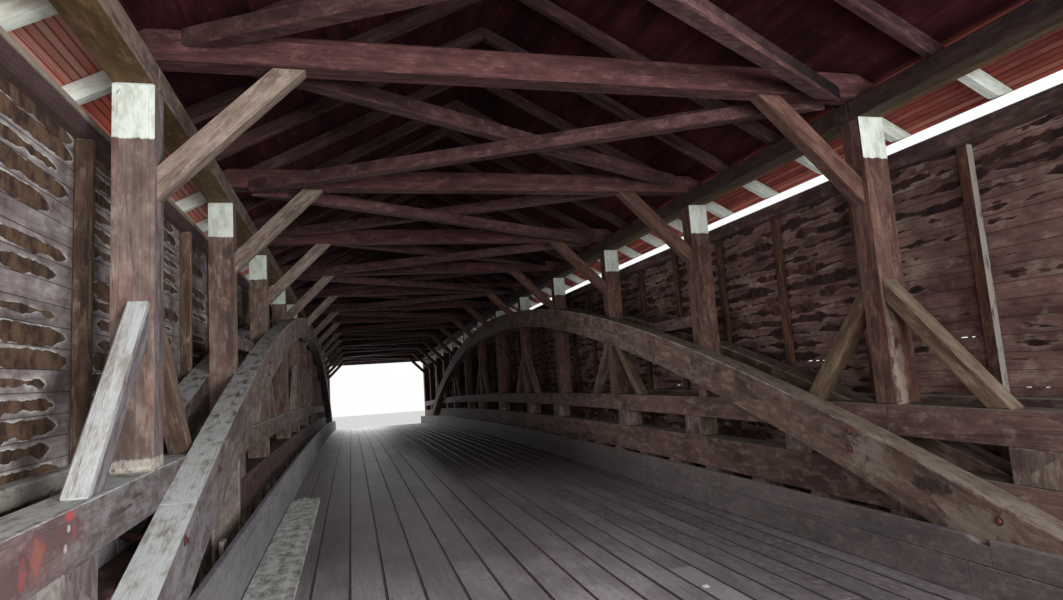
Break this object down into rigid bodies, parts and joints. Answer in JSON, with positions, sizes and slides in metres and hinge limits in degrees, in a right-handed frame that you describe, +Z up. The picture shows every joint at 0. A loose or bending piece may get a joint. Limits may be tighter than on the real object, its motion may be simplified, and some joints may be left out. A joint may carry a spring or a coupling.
{
  "type": "covered bridge",
  "caption": "Covered timber road bridge: trusses of posts and beams clamped between paired arches, a plank road, boarded side walls and a gabled roof, on stone abutments.",
  "frame": {"origin": "on the plane the abutments stand on, below mid-span and on the road's centre line", "axes": "+Y runs along the road, away from the near portal; +X points to the right truss as seen from the near portal; +Z is up"},
  "size_m": [6.32, 38.53, 7.9533],
  "materials": {
    "timber": "rough sawn, weathered",
    "road_planks": "worn, grey",
    "weathered_boards": "weathered, stained",
    "painted_boards": "old dull paint",
    "stone": "dressed stone blocks",
    "iron": "rusted bolts and washers"
  },
  "bodies": {
    "root": {"left_posts": "timber", "right_posts": "timber", "left_hip_beam": "timber", "right_hip_beam": "timber", "left_lower_chord": "timber", "right_lower_chord": "timber", "left_stub_posts": "timber", "right_stub_posts": "timber", "left_foot_blocks": "timber", "right_foot_blocks": "timber", "left_top_plate": "timber", "right_top_plate": "timber", "left_inner_arch": "timber", "right_inner_arch": "timber", "left_outer_arch": "timber", "right_outer_arch": "timber", "left_struts": "timber", "right_struts": "timber", "left_arch_blocks": "timber", "right_arch_blocks": "timber", "left_knee_braces": "timber", "right_knee_braces": "timber", "tie_beams": "timber", "lateral_braces": "timber", "left_rafters": "timber", "right_rafters": "timber", "left_roof": "painted_boards", "right_roof": "painted_boards", "left_siding": "weathered_boards", "right_siding": "weathered_boards", "left_studs": "timber", "right_studs": "timber", "left_wall_rails": "timber", "right_wall_rails": "timber", "left_curb": "road_planks", "right_curb": "road_planks", "floor_beams": "timber", "deck": "road_planks", "near_portal": "weathered_boards", "far_portal": "weathered_boards", "near_abutment": "stone", "far_abutment": "stone"}
  },
  "joints": []
}
